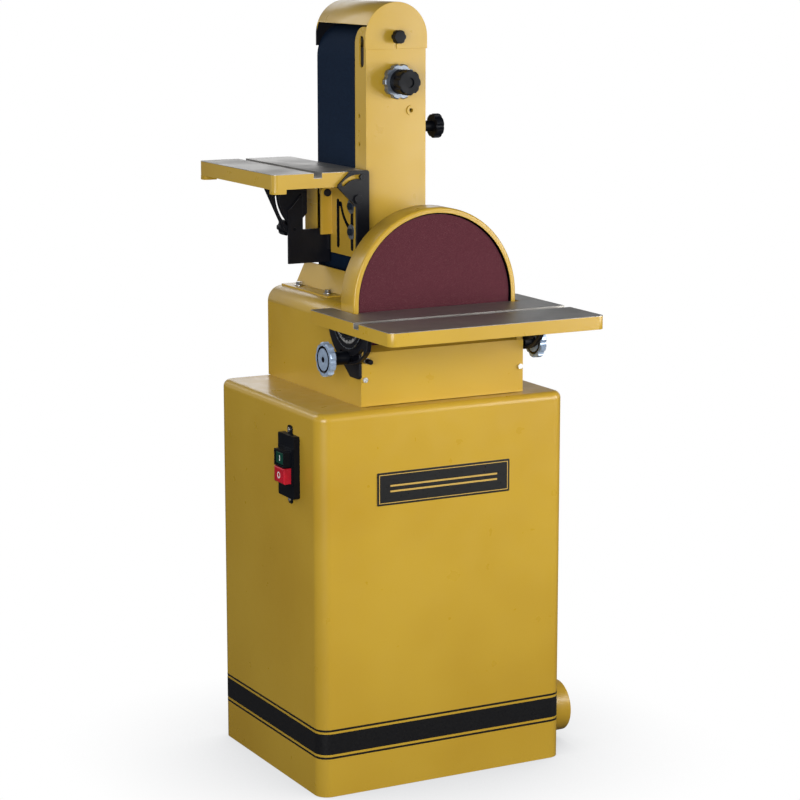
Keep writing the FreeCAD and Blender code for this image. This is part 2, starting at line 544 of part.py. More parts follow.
def make_disc_trunnions():
    reach = math.hypot(LOCK_Y - DISC_PIVOT[0], LOCK_Z - DISC_PIVOT[1])
    lean = math.degrees(math.atan2(LOCK_Z - DISC_PIVOT[1], LOCK_Y - DISC_PIVOT[0]))
    low = LOCK_Z - 36
    sectors = []
    brackets = []
    for side, s in SIDES.items():
        x = outward(side, SECTOR_GAP, SECTOR_GAP + TRUNNION_T)
        outline = [(-236.5, 851), (-236.5, 838), (-228, 815)]
        outline += [polar(DISC_PIVOT, reach + 10, a) for a in range(-140, -19, 6)]
        outline += [(-86, 836), (-86, 851)]
        plate = prism("x", outline, x)
        ring_x = outward(side, SECTOR_GAP + TRUNNION_T, SECTOR_GAP + TRUNNION_T + RING_T)
        ring = tube("x", DISC_PIVOT, 59, 38, ring_x)
        ring = ring.common(box(ring_x, (-300, 0), (700, 851)))
        slot = arc_slot("x", DISC_PIVOT, reach, 5.5, lean - 47, lean + 17, (x[0] - 1, x[1] + 1))
        sectors.append(cut(join(plate, ring), slot))

        bx = outward(side, 0, SECTOR_GAP - 0.1)
        front = s["bracket_front"]
        bracket = prism("x", [(-114, low + 22), (-144, low), (front, low), (front, low + 60),
                              (min(front + 19, -150), low + 80), (-114, low + 80)], bx)
        bracket = round_edges(bracket, 6, "x")
        screw_hole = rod("x", (LOCK_Y, LOCK_Z), LOCK_SCREW_R + RUNNING_GAP, (bx[0] - 1, bx[1] + 1))
        brackets.append(cut(bracket, screw_hole))
    PARTS["disc_table_trunnions"] = Part.makeCompound(sectors)
    PARTS["trunnion_brackets"] = Part.makeCompound(brackets)
    scale_near = SECTOR_GAP + TRUNNION_T + RING_T
    scale_x = outward("left", scale_near, scale_near + 0.5)
    scale = tube("x", DISC_PIVOT, 51, 41, scale_x)
    PARTS["angle_scale"] = scale.common(box(scale_x, (-300, 0), (700, 850)))


def make_disc_lock(side):
    centre = (LOCK_Y, LOCK_Z)
    near, far = SIDES[side]["wheel"]
    wheel = lobed("x", centre, 31, 9, 7, outward(side, near, far), 2.5)
    groove = tube("x", centre, 24, 20, outward(side, far - 3, far + 1))
    hole = rod("x", centre, 5, outward(side, far - 8, far + 1))
    PARTS[side + "_lock_wheel"] = cut(wheel, groove, hole)
    face = SECTOR_GAP + TRUNNION_T
    collar = rod("x", centre, 12, outward(side, face + 0.2, near))
    stem = rod("x", centre, LOCK_SCREW_R, outward(side, 0.3, face + 1))
    PARTS[side + "_lock_screw"] = join(collar, stem)


# ---- arm, drums and tension --------------------------------------------------
CARRIAGE_Y = (5.0, 32.0)
TENSION_Z = 1252.0
GUARD_KNOB = (9.0, 1332.0)
GUARD_STEM_R = 2.5
COVER_KNOB = (34.0, 1166.0)
BRACKET_BOLTS = [(23.0, 1027.0), (23.0, 980.0)]
PAD_FACE = -60.9
PLATEN_BOLTS = [(-30.0, 1020.0), (50.0, 1020.0), (-30.0, 1160.0), (50.0, 1160.0)]
ARM_INNER = (ARM_X[0] + ARM_PLATE, ARM_X[1] - ARM_PLATE)
PLATE_BACK = ARM_Y + ARM_PLATE
LOW_GUARD_X = -75.0        # guard over the belt below the table
BRACKET_X = (-66.0, -61.0)


def make_arm():
    plate = join(rod("y", SPINDLE, ARM_HALF, (ARM_Y, PLATE_BACK)),
                 box(ARM_X, (ARM_Y, PLATE_BACK), (SPINDLE_Z, GUARD_TOP_Z)),
                 rod("y", (SPINDLE_X, GUARD_TOP_Z), ARM_HALF - 0.1, (ARM_Y, PLATE_BACK)))
    plate = plate.cut(box((-100, 100), (-10, 10), (1345, 1450)))
    flanges = []
    for x, top in ((ARM_X[0], 1350.0), (ARM_X[1] - ARM_PLATE, GUARD_TOP_Z)):
        flange = box((x, x + ARM_PLATE), (PLATE_BACK, ARM_DEPTH_Y), (SPINDLE_Z, top))
        flange = round_edges(flange, 34, "x", lambda m: m.y > 30 and m.z > 1300)
        flanges.append(flange)
    web = box(ARM_INNER, (ARM_DEPTH_Y - 3, ARM_DEPTH_Y), (960, 1215))
    seat = box(ARM_INNER, (PLATE_BACK, ARM_DEPTH_Y - 3), (1194, 1198))
    pad = box((PAD_FACE, ARM_X[0]), (12, 38), (940, 1062))
    boss = rod("y", (41.6, 1199), 8.6, (ARM_Y - 2.5, ARM_Y))
    holes = [rod("y", SPINDLE, NOSE_R + RUNNING_GAP, (-5, 5)),
             rod("y", (SPINDLE_X, TENSION_Z), 10 + RUNNING_GAP, (-5, 5)),
             rod("y", GUARD_KNOB, GUARD_STEM_R + RUNNING_GAP, (-5, 5)),
             rod("y", (41.6, 1199), 4, (-9, 5)),
             rod("x", COVER_KNOB, 4 + RUNNING_GAP, (60, 80)),
             straight_slot("x", (15, 1286), (15, 1325), 9, (-55, -40))]
    holes += [rod("x", c, r, (-55, -40)) for c, r in (((25, 1190), 4), ((25, 1162), 2.5), ((25, 1139), 4))]
    holes += [rod("x", c, 4, (-65, -40)) for c in BRACKET_BOLTS]
    holes += [rod("y", c, 3, (30, 45)) for c in PLATEN_BOLTS]
    PARTS["arm_frame"] = cut(join(plate, *flanges, web, seat, pad, boss), *holes)

    facing = box((-48.7, -43.7), BELT_Y, (946, 1218))
    facing = round_edges(facing, 3, "y", lambda m: m.x < -48)
    leg = box((-43.7, 66), (ARM_DEPTH_Y, ARM_DEPTH_Y + 4), (1000, 1180))
    ribs = [box((-43.7, -20), (ARM_DEPTH_Y + 4, 180), (z, z + 5)) for z in (1010.0, 1090.0, 1165.0)]
    holes = [rod("y", c, 3, (30, 50)) for c in PLATEN_BOLTS]
    PARTS["platen"] = cut(join(facing, leg, *ribs), *holes)
    inner_face = ARM_DEPTH_Y - 3
    screws = [bolt("y", c, (6, (inner_face - 5, inner_face)), (3, (inner_face, ARM_DEPTH_Y + 4)))
              for c in PLATEN_BOLTS]
    outer_face = BRACKET_X[0] - RUNNING_GAP
    bolts = [bolt("x", c, (7, (outer_face - 7, outer_face - 2)), (4, (outer_face, -44)),
                  (14, (outer_face - 2, outer_face))) for c in BRACKET_BOLTS]
    PARTS["arm_bolts"] = Part.makeCompound(screws + bolts)


def make_belt():
    outer = belt_loop(SPINDLE, BELT_OUTER_R, (SPINDLE_X, IDLER_Z), BELT_OUTER_R, BELT_Y)
    inner = belt_loop(SPINDLE, BELT_INNER_R, (SPINDLE_X, IDLER_Z), BELT_INNER_R,
                      (BELT_Y[0] - 1, BELT_Y[1] + 1))
    PARTS["abrasive_belt"] = outer.cut(inner)


def make_idler():
    centre = (SPINDLE_X, IDLER_Z)
    span = (BELT_Y[0] + 2, BELT_Y[1] - 2)
    races = [(50.0, 62.0), (170.0, 182.0)]
    drum = tube("y", centre, DRUM_R, DRUM_R - 7, span)
    hubs = [tube("y", centre, DRUM_R - 6, 17 + RUNNING_GAP, y) for y in races]
    PARTS["idler_drum"] = join(drum, *hubs)
    PARTS["idler_bearings"] = Part.makeCompound([tube("y", centre, 17, 8, y) for y in races])
    PARTS["idler_shaft"] = rod("y", centre, 8, (12, 186))
    carriage = box((ARM_INNER[0] + RUNNING_GAP, ARM_INNER[1] - RUNNING_GAP), CARRIAGE_Y,
                   (IDLER_Z - 22, IDLER_Z + 22))
    carriage = round_edges(carriage, 3, "z")
    PARTS["idler_carriage"] = cut(carriage, rod("y", centre, 8, (12, 40)))


def make_spring():
    base_z, top_z, turns = 1199.5, IDLER_Z - 23.5, 8
    pitch = (top_z - base_z) / turns
    helix = Part.makeHelix(pitch, top_z - base_z, 8)
    wire_r = 1.3
    start = Part.makeCircle(wire_r, V(8, 0, 0), V(0, 1, 0))
    sweep = Part.Wire(helix).makePipeShell([Part.Wire(start)], True, True)
    sweep.translate(V(SPINDLE_X, 22, base_z))
    PARTS["tension_spring"] = sweep


def make_knobs():
    axis = (SPINDLE_X, TENSION_Z)
    wheel = lobed("y", axis, 32, 10, 7, (-22, -9), 2.5)
    hub = rod("y", axis, 14, (-9, -3))
    neck = rod("y", axis, 10, (-3, PLATE_BACK + 0.1))
    cam = rod("y", (SPINDLE_X, TENSION_Z - 2), 13, (PLATE_BACK + 0.1, 4.5))
    bore = rod("y", axis, 6 + RUNNING_GAP, (-30, 10))
    PARTS["tension_handwheel"] = cut(join(wheel, hub, neck, cam), bore)
    stem = rod("y", axis, 6, (-22.3, 4.4))
    collar = rod("y", axis, 22, (-34, -22.3))
    grip = lobed("y", axis, 23, 8, 5, (-56, -34), 3)
    dish = rod("y", axis, 9, (-57, -53))
    PARTS["tracking_knob"] = cut(join(stem, collar, grip), dish)

    grip = lobed("y", GUARD_KNOB, 12.5, 6, 4, (-25, -12), 2)
    shoulder = rod("y", GUARD_KNOB, 6, (-12, -4.9))
    stem = rod("y", GUARD_KNOB, GUARD_STEM_R, (-4.9, PLATE_BACK))
    PARTS["guard_knob"] = join(grip, shoulder, stem)

    grip = lobed("x", COVER_KNOB, 22.5, 7, 6, (105, 121), 3)
    neck = rod("x", COVER_KNOB, 10, (80.1, 105))
    stem = rod("x", COVER_KNOB, 4, (69.7, 80.1))
    PARTS["cover_knob"] = join(grip, neck, stem)


def cap(r, y, foot):
    centre = (SPINDLE_X, GUARD_TOP_Z)
    return join(rod("y", centre, r, y).common(box((-100, 200), y, (GUARD_TOP_Z, 1500))),
                box((SPINDLE_X - r, SPINDLE_X + r), y, (foot, GUARD_TOP_Z)))


def make_top_guard():
    wall = 2.0
    back = 197.0
    outer = cap(GUARD_TOP_R, (ARM_Y - wall, back), 1310)
    inner = cap(GUARD_TOP_R - wall, (ARM_Y, back - wall), 1300)
    open_left = box((-100, SPINDLE_X), (ARM_Y, back - wall), (1300, 1353))
    slot_half = GUARD_STEM_R + 0.3
    slot = join(rod("y", GUARD_KNOB, slot_half, (-6, 0)),
                box((GUARD_KNOB[0] - slot_half, GUARD_KNOB[0] + slot_half), (-6, 0), (1300, GUARD_KNOB[1])))
    PARTS["top_guard"] = cut(outer, inner, open_left, slot)


def make_return_cover():
    wall = 2.0
    right, back = 80.0, 199.0
    z = (950.0, 1306.0)
    low_z = (910.0, 1048.0)
    side = box((right - wall, right), (28, back), z)
    rear = box((50, right), (back - wall, back), z)
    tab = box((ARM_X[1], right), (28, 28 + wall), z)
    low_rear = box((LOW_GUARD_X, right), (back - wall, back), low_z)
    low_left = box((LOW_GUARD_X, LOW_GUARD_X + wall), (150, back), low_z)
    seam = box((LOW_GUARD_X - 1, LOW_GUARD_X + 0.8), (149, back + 1), (1019.5, 1020.5))
    knob_hole = rod("x", COVER_KNOB, 4 + RUNNING_GAP, (right - wall - 1, right + 1))
    PARTS["return_cover"] = cut(join(side, rear, tab, low_rear, low_left), seam, knob_hole)


# ---- belt table --------------------------------------------------------------
FRONT_PLATE_Y = (-22.0, -16.3)
ARC_R = 40.0
KNOB_POINT = (-130.0, 977.0)
KNOB_STEM_R = 3.2
GUSSET_Y = (137.0, 149.0)
POST_Y = (130.0, 136.0)


def make_table_bracket():
    plate = box(BRACKET_X, (-16.2, 109), (934, 1055))
    lower_front = prism("x", [(-20, 900), (-20, 934), (30, 934)], (-70, -60))
    flange = box((-79, BRACKET_X[0]), (-16.2, -11.2), (934, 1030))
    ear = join(box((-88, BRACKET_X[0]), (104, 109), (968, BELT_PIVOT[1])),
               rod("y", BELT_PIVOT, 12, (104, 109)))
    ear = ear.cut(box((BRACKET_X[0], 0), (100, 120), (960, 1060)))
    bolt_y = BRACKET_BOLTS[0][0]
    slots = [straight_slot("x", (79, 951), (79, 1030), 6, (-70, -50)),
             straight_slot("x", (bolt_y, 951), (bolt_y, 1028), 6, (-70, -50)),
             straight_slot("x", (79, 1027), (67, 1027), 4.5, (-70, -50)),
             arc_slot("x", (0.6, 1048), 70, 4.5, -71.3, -17.4, (-70, -50))]
    pivot = rod("y", BELT_PIVOT, 5 + RUNNING_GAP, (100, 112))
    body = join(plate, flange, ear)
    PARTS["slotted_bracket"] = cut(body, lower_front, pivot, *slots)

    outline = [(-90, 1096), (-53, 1096), (-53, 934), (-79, 934), (-79, 1030), (-118, 1069)]
    plate = prism("y", outline, FRONT_PLATE_Y)
    plate = round_edges(plate, 5, "y")
    arc = arc_slot("y", BELT_PIVOT, ARC_R, 4, 76, 136, (-30, -10))
    PARTS["front_trunnion_plate"] = cut(plate, arc, rod("y", BELT_PIVOT, 5 + RUNNING_GAP, (-30, -10)))

    post = prism("y", [(-142, 913), (-58, 913), (-58, 976), (-113, 976), (-113, 1041),
                       (-115, 1041), (-142, 1012)], POST_Y)
    shoe = box((BRACKET_X[1], BRACKET_X[1] + 5), (92, POST_Y[0]), (937, 974))
    hole = rod("y", KNOB_POINT, KNOB_STEM_R + RUNNING_GAP, grown(POST_Y, 1))
    PARTS["rear_support_plate"] = cut(join(post, shoe), hole)


def make_belt_table():
    top = BELT_TABLE_Z
    slab = box(BELT_TABLE_X, BELT_TABLE_Y, (top - 27, top))
    slab = round_edges(slab, 9, "z")
    x = (BELT_TABLE_X[0] + 8, BELT_TABLE_X[1] - 8)
    y = (BELT_TABLE_Y[0] + 8, BELT_TABLE_Y[1] - 8)
    web_z = top - 10.6
    pocket = box(x, y, (top - 40, web_z))
    rib = box((-169, -137), y, (top - 18, web_z))
    feet = [box((BELT_TABLE_X[0], BELT_TABLE_X[0] + 26), span, (top - 35, top - 27))
            for span in ((BELT_TABLE_Y[0], BELT_TABLE_Y[0] + 22), (BELT_TABLE_Y[1] - 22, BELT_TABLE_Y[1]))]
    feet = [round_edges(foot, 8, "z", lambda m: m.x < -230) for foot in feet]
    slot = box((-161, -145), (-20, 320), (top - 9, top + 1))
    ears = []
    for span in ((BELT_TABLE_Y[0], BELT_TABLE_Y[0] + 8), (109.2, 117.2)):
        ears.append(rod("y", BELT_PIVOT, 9, span))
        ears.append(box((BELT_PIVOT[0] - 9, BELT_PIVOT[0] + 9), span, (BELT_PIVOT[1], web_z)))
    clamp = polar(BELT_PIVOT, ARC_R, 79)
    holes = [rod("y", BELT_PIVOT, 5, (-20, 120)), rod("y", clamp, 3.5, (-20, 0))]
    PARTS["belt_table"] = cut(join(slab.cut(pocket), rib, *feet, *ears), slot, *holes)

    face = FRONT_PLATE_Y[0] - RUNNING_GAP
    front_pivot = screw("y", BELT_PIVOT, (8, (face - 4, face)), (5, (face, -7.3)))
    rear_pivot = screw("y", BELT_PIVOT, (7, (100, 103.9)), (5, (103.9, 117.2)))
    clamp_bolt = bolt("y", clamp, (5.5, (face - 4, face)), (3.5, (face, -7.3)))
    PARTS["table_tilt_pins"] = Part.makeCompound([front_pivot, rear_pivot, clamp_bolt])

    web = prism("y", [(-184, web_z), (-184, 1055), (-146, 974), (-134, 969), (-122, 973),
                      (-123, 983), (-101, 1005), (-101, web_z)], GUSSET_Y)
    gusset = join(web, rod("y", KNOB_POINT, 9, GUSSET_Y))
    reach = math.hypot(KNOB_POINT[0] - BELT_PIVOT[0], KNOB_POINT[1] - BELT_PIVOT[1])
    angle = math.degrees(math.atan2(KNOB_POINT[1] - BELT_PIVOT[1], KNOB_POINT[0] - BELT_PIVOT[0]))
    slot = arc_slot("y", BELT_PIVOT, reach, KNOB_STEM_R + 0.3, angle - 47, angle + 1, grown(GUSSET_Y, 1))
    PARTS["table_gusset"] = cut(gusset, slot, PARTS["belt_table"])

    knob = lobed("y", KNOB_POINT, 15, 6, 5, (155, 179), 2.5)
    back = GUSSET_Y[1] + 0.1
    stem = join(rod("y", KNOB_POINT, 8, (back, 155)), rod("y", KNOB_POINT, KNOB_STEM_R, (POST_Y[0], back)))
    PARTS["belt_table_lock_knob"] = join(knob, stem)


# ---- build and write ---------------------------------------------------------
make_cabinet()
make_dust_port()
make_switch()
make_motor()
make_spindle()
make_bearing_housing()
make_housing()
make_guard()
make_scoop()
make_disc_table()
make_disc_trunnions()
make_disc_lock("left")
make_disc_lock("right")
make_arm()
make_belt()
make_idler()
make_spring()
make_knobs()
make_top_guard()
make_return_cover()
make_table_bracket()
make_belt_table()

PARTS["panel_screws"] = Part.makeCompound(SMALL_SCREWS)
PARTS["base_bolts"] = Part.makeCompound(BASE_BOLTS)

os.makedirs("parts", exist_ok=True)
for name, shape in PARTS.items():
    shape.exportStep("parts/" + name + ".step")
    print(name, len(shape.Solids), shape.isValid(), round(shape.Volume))
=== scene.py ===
"""Looks of the belt disc sander: finishes for its CAD parts, decals, marks, light and camera.

Lengths are metres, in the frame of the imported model: the disc faces -Y, the belt faces -X.
"""
import bmesh
import bpy
import json
import math
from mathutils import Matrix, Vector


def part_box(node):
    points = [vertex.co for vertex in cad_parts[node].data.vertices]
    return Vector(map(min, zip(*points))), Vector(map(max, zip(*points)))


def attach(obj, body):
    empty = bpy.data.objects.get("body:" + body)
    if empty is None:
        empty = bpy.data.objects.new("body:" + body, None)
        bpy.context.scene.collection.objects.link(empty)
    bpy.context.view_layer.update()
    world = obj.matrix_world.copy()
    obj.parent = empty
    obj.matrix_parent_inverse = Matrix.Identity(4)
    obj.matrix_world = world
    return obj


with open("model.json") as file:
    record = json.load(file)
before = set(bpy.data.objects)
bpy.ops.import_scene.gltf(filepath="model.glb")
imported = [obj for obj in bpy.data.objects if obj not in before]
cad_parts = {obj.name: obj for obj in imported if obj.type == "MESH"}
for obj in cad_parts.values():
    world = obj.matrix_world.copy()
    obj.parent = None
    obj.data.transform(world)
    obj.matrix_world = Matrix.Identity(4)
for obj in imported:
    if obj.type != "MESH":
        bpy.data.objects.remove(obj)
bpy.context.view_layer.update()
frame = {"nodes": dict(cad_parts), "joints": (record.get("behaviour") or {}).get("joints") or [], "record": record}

MM = 0.001
X, Y, Z = 0, 1, 2
NODES = frame["nodes"]
JOINTS = {j["name"]: j for j in frame["joints"]}

# places on the model: axes as their two coordinates across the axis, the rest as faces and edges
SPINDLE = (JOINTS["spindle_spin"]["pos_m"][0], JOINTS["spindle_spin"]["pos_m"][2])
TENSION_AXIS = (JOINTS["tension_turn"]["pos_m"][0], JOINTS["tension_turn"]["pos_m"][2])
LOCK_AXIS = tuple(JOINTS["left_lock_turn"]["pos_m"][1:])
CAP_CENTRE = (SPINDLE[0], 1331.0 * MM)
CAP_INSIDE_R = 61.4 * MM
CAP_FRONT_Y = -2.9 * MM
CAP_OPEN_Z = 1353.0 * MM
CAP_BACK_Y = (194.5 * MM, 197.5 * MM)
BELT_SIDE_X = -49.5 * MM
GUARD_INSIDE_R = 160.4 * MM
GUARD_FRONT_Y = -154.2 * MM
BRACKET_SLOTS_X = (-65.7 * MM, 0.0)
ARM_PAD_X = (-62.0 * MM, -50.5 * MM)
BOLT_HEADS_X = -68.2 * MM

# mitre slots: centre, half width and depth
DISC_SLOT = (-256.0 * MM, 9.7 * MM, 9.5 * MM)
BELT_SLOT = (-153.0 * MM, 8.2 * MM, 9.0 * MM)

# painted shade: black rings of the wheels, inner and outer radius
LOCK_WHEEL_SHADE_RINGS = ((0.0, 5.3 * MM), (19.8 * MM, 24.2 * MM))
TENSION_WHEEL_SHADE_RINGS = ((0.0, 22.5 * MM),)


# ---- shader building ---------------------------------------------------------
MIX_SOCKETS = {"RGBA": (6, 7, 2), "VECTOR": (4, 5, 1)}   # inputs A and B, and the result
EDGE_SAMPLES = 4
EDGE_TURN = 0.06                                         # how far a normal has to turn to count as an edge


class Shader:
    """One node material, with short calls for the nodes it is made of."""

    def __init__(self, name):
        self.material = bpy.data.materials.new(name)
        self.material.use_nodes = True
        self.tree = self.material.node_tree
        self.tree.nodes.clear()
        self.out = self.tree.nodes.new("ShaderNodeOutputMaterial")
        self.surface = self.add("ShaderNodeBsdfPrincipled")
        self.tree.links.new(self.surface.outputs[0], self.out.inputs[0])
        self.place = self.add("ShaderNodeTexCoord")

    def add(self, kind, **values):
        """A node, with its input sockets set to numbers or joined to other sockets."""
        made = self.tree.nodes.new(kind)
        for key, value in values.items():
            self.feed(made.inputs[key.replace("_", " ")], value)
        return made

    def feed(self, socket, value):
        if isinstance(value, bpy.types.NodeSocket):
            self.tree.links.new(value, socket)
        else:
            socket.default_value = value

    def set(self, **values):
        for key, value in values.items():
            self.feed(self.surface.inputs[key.replace("_", " ")], value)

    def at(self, stretch=(1, 1, 1)):
        """Object coordinates, stretched along the axes."""
        place = self.place.outputs["Object"]
        if tuple(stretch) == (1, 1, 1):
            return place
        return self.add("ShaderNodeMapping", Vector=place, Scale=stretch).outputs[0]

    def noise(self, scale, detail=3.0, roughness=0.55, stretch=(1, 1, 1)):
        """Smooth noise about 0.5; a larger scale is finer."""
        made = self.add("ShaderNodeTexNoise", Vector=self.at(stretch), Scale=scale, Detail=detail,
                        Roughness=roughness)
        return made.outputs["Fac"]

    def cells(self, scale):
        """Distance to the nearest of many scattered points."""
        return self.add("ShaderNodeTexVoronoi", Vector=self.at(), Scale=scale).outputs["Distance"]

    def math(self, operation, a, b=0.0):
        made = self.tree.nodes.new("ShaderNodeMath")
        made.operation = operation
        self.feed(made.inputs[0], a)
        self.feed(made.inputs[1], b)
        return made.outputs[0]

    def span(self, value, low, high, to_low=0.0, to_high=1.0):
        """Value from low..high mapped to to_low..to_high, held at the ends."""
        made = self.add("ShaderNodeMapRange", Value=value)
        ends = {"From Min": low, "From Max": high, "To Min": to_low, "To Max": to_high}
        for key, number in ends.items():
            made.inputs[key].default_value = number
        return made.outputs[0]

    def blend(self, share, first, second, kind="RGBA"):
        """First where share is 0, second where it is 1, for colours or vectors."""
        made = self.tree.nodes.new("ShaderNodeMix")
        made.data_type = kind
        a, b, result = MIX_SOCKETS[kind]
        self.feed(made.inputs[0], share)
        self.feed(made.inputs[a], first)
        self.feed(made.inputs[b], second)
        return made.outputs[result]

    def part_of(self, vector, axis):
        return self.add("ShaderNodeSeparateXYZ", Vector=vector).outputs[axis]

    def coordinate(self, axis):
        """Object coordinate along one axis."""
        return self.part_of(self.place.outputs["Object"], axis)

    def distance(self, axes, centre, flat_below=False):
        """Distance from an axis through centre; flat_below gives straight sides under an arch."""
        across = self.math("SUBTRACT", self.coordinate(axes[0]), centre[0])
        up = self.math("SUBTRACT", self.coordinate(axes[1]), centre[1])
        if flat_below:
            up = self.math("MAXIMUM", up, 0.0)
        squares = self.math("ADD", self.math("MULTIPLY", across, across),
                            self.math("MULTIPLY", up, up))
        return self.math("SQRT", squares)

    def inside(self, value, low, high):
        """1 where low < value < high, else 0."""
        return self.math("MULTIPLY", self.math("GREATER_THAN", value, low),
                         self.math("LESS_THAN", value, high))

    def edges(self, radius):
        """1 along outer edges within about radius, fading to 0 on flat faces."""
        soft = self.tree.nodes.new("ShaderNodeBevel")
        soft.samples = EDGE_SAMPLES
        soft.inputs["Radius"].default_value = radius
        plain = self.tree.nodes.new("ShaderNodeNewGeometry")
        dot = self.tree.nodes.new("ShaderNodeVectorMath")
        dot.operation = "DOT_PRODUCT"
        self.feed(dot.inputs[0], soft.outputs[0])
        self.feed(dot.inputs[1], plain.outputs["Normal"])
        return self.span(dot.outputs["Value"], 1.0 - EDGE_TURN, 1.0, 1.0, 0.0)

    def bump(self, height, strength, depth):
        return self.add("ShaderNodeBump", Height=height, Strength=strength, Distance=depth).outputs[0]


def colour(red, green, blue):
    return (red, green, blue, 1.0)


def darker(tint, share):
    """The tint with its red, green and blue scaled by share."""
    return tuple(c * share for c in tint[:3]) + (1.0,)


# ---- finishes ----------------------------------------------------------------
# parts of a noise's range over which one tone fades into the other
SOFT_FADE = (0.35, 0.65)
STREAK_FADE = (0.30, 0.62)
WIDE_FADE = (0.3, 0.7)

YELLOW = colour(0.560, 0.355, 0.036)
YELLOW_WARM = colour(0.505, 0.307, 0.027)
# bright yellow laid along edges as a painted highlight
YELLOW_EDGE_HIGHLIGHT = colour(0.720, 0.520, 0.120)
GRIME = colour(0.150, 0.095, 0.030)
# black laid as painted shade on inner faces and on the wheels' rings
PAINTED_SHADE_BLACK = colour(0.006, 0.006, 0.008)
ENAMEL_COAT = 0.15
COAT_ROUGHNESS = 0.12
ENAMEL_ROUGHNESS = (0.27, 0.40)
TONE_DRIFT = 3.5
SPECKS = 900.0
# noise scale of the patches where edges get the painted highlight
EDGE_HIGHLIGHT_PATCHES = 60.0
SHINE_PATCHES = 28.0
ORANGE_PEEL = 420.0
PEEL_DEPTH = 0.4 * MM
ENAMEL_EDGE = 1.0 * MM

IRON = colour(0.40, 0.385, 0.36)
IRON_DARK = colour(0.27, 0.255, 0.235)
IRON_STREAK = colour(0.52, 0.51, 0.49)
GRINDING_STRETCH = (1.0, 55.0, 1.0)
FACES_UP = 0.9
GROUND_LIP = 0.9 * MM
SLOT_MARGIN = 1 * MM

ZINC = colour(0.62, 0.62, 0.62)
BRIGHT_ZINC = colour(0.88, 0.88, 0.86)
BLUED_ZINC = (colour(0.40, 0.46, 0.52), colour(0.62, 0.68, 0.76))
BLACKENED_HEAD = colour(0.008, 0.016, 0.030)
ALUMINIUM = colour(0.74, 0.75, 0.76)
LOCK_WHEEL_TONES = (colour(0.36, 0.46, 0.62), colour(0.52, 0.66, 0.86))
# the tension wheel's dark tones are a painted dark reflection
TENSION_WHEEL_REFLECTION_TONES = (colour(0.10, 0.12, 0.15), colour(0.21, 0.24, 0.29))
METAL_STREAKS = 220.0
STREAK_DEPTH = 0.12 * MM

CASTING_GREY = colour(0.16, 0.165, 0.17)
BLACK_ENAMEL = colour(0.005, 0.0055, 0.009)
MOTOR_GREY = colour(0.07, 0.075, 0.08)
EDGE_GREY = colour(0.20, 0.20, 0.21)
CAST_EDGE = 0.9 * MM

BLACK_PHENOLIC = colour(0.003, 0.004, 0.007)
BUTTON_GREEN = colour(0.004, 0.060, 0.038)
BUTTON_RED = colour(0.560, 0.012, 0.030)
RUBBER = (colour(0.012, 0.012, 0.013), colour(0.03, 0.03, 0.03))

# grit, resin bond and sparkling points
MAROON = (colour(0.130, 0.026, 0.040), colour(0.072, 0.014, 0.022), colour(0.32, 0.16, 0.16))
BLUE_BLACK = (colour(0.005, 0.022, 0.056), colour(0.003, 0.009, 0.024), colour(0.03, 0.08, 0.14))
GRIT = 1100.0

PLATE_BLACK = colour(0.012, 0.012, 0.012)
SCALE_GROUND = colour(0.015, 0.015, 0.018)


def enamel_layers(s):
    """Colour, roughness and bump of sprayed enamel: drifting tone, a painted highlight on thin edges, orange peel.
    """
    drift = s.span(s.noise(TONE_DRIFT, 2.0), *SOFT_FADE)
    tone = s.blend(drift, YELLOW, YELLOW_WARM)
    specks = s.span(s.noise(SPECKS, 1.0), 0.74, 0.80)
    tone = s.blend(s.math("MULTIPLY", specks, 0.35), tone, GRIME)
    # painted highlight: thin edges lightened towards bright yellow in patches
    edge_highlight = s.math("MULTIPLY", s.edges(ENAMEL_EDGE), s.span(s.noise(EDGE_HIGHLIGHT_PATCHES, 3.0), 0.35, 0.7))
    tone = s.blend(s.math("MULTIPLY", edge_highlight, 0.55), tone, YELLOW_EDGE_HIGHLIGHT)
    shine = s.span(s.noise(SHINE_PATCHES, 3.0), *WIDE_FADE, *ENAMEL_ROUGHNESS)
    peel = s.bump(s.noise(ORANGE_PEEL, 2.0), 0.10, PEEL_DEPTH)
    return tone, shine, peel


def yellow_enamel(name="yellow_enamel", shade_mask=None):
    """Enamel; the optional mask function marks the faces painted black as painted shade."""
    s = Shader(name)
    tone, shine, peel = enamel_layers(s)
    coat = ENAMEL_COAT
    if shade_mask:
        mask = shade_mask(s)
        # painted shade: masked faces turn black and lose the clear coat
        tone = s.blend(mask, tone, PAINTED_SHADE_BLACK)
        coat = s.span(mask, 0.0, 1.0, ENAMEL_COAT, 0.0)
    s.set(Base_Color=tone, Roughness=shine, Normal=peel, Coat_Weight=coat)
    s.set(Coat_Roughness=COAT_ROUGHNESS, Specular_IOR_Level=0.4)
    return s.material


def arch_shade(centre, radius, front):
    """Mask of an arched guard's faces within radius of its axis and behind its front edge, painted black as
    painted shade.
    """
    def mask(s):
        near = s.math("LESS_THAN", s.distance((X, Z), centre, flat_below=True), radius)
        behind = s.math("GREATER_THAN", s.coordinate(Y), front)
        return s.math("MULTIPLY", near, behind)
    return mask


def cap_shade(s):
    """Mask of the inside of the top guard, painted black as painted shade: under its arch, and its back plate
    beside the belt.
    """
    x, y, z = (s.coordinate(axis) for axis in (X, Y, Z))
    back = s.math("MULTIPLY", s.inside(y, *CAP_BACK_Y), s.math("LESS_THAN", z, CAP_OPEN_Z))
    beside = s.math("MULTIPLY", back, s.math("LESS_THAN", x, BELT_SIDE_X))
    return s.math("MAXIMUM", arch_shade(CAP_CENTRE, CAP_INSIDE_R, CAP_FRONT_Y)(s), beside)


def span_shade(axis, low, high):
    """Mask of everything between two values along an axis, painted black as painted shade."""
    return lambda s: s.inside(s.coordinate(axis), low, high)


